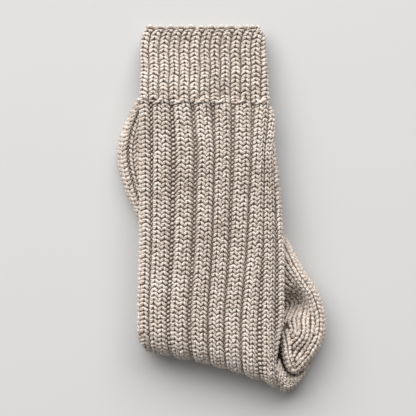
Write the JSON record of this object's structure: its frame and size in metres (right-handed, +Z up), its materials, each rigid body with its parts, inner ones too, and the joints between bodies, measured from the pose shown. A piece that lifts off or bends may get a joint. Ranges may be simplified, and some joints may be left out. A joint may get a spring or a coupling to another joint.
{
  "type": "pair of wool socks, folded together",
  "caption": "Pair of chunky ribbed wool socks, laid one on the other and folded across the ankle so that the feet lie under the legs, lying flat.",
  "frame": {"origin": "on the table, at the middle of the outline seen from above", "axes": "+Z up from the table, +Y along the socks towards the cuffs, +X towards the heels"},
  "size_m": [0.1609, 0.283, 0.038],
  "materials": {
    "wool_cuff": "matte knitted wool, knit one purl one",
    "wool_leg": "matte knitted wool, knit two purl two",
    "wool_heel": "matte knitted wool, plain knitting",
    "wool_foot": "matte knitted wool"
  },
  "bodies": {
    "root": {"upper_cuff": "wool_cuff", "upper_leg": "wool_leg", "upper_heel": "wool_heel", "upper_foot": "wool_foot", "lower_cuff": "wool_cuff", "lower_leg": "wool_leg", "lower_heel": "wool_heel", "lower_foot": "wool_foot"}
  },
  "joints": []
}
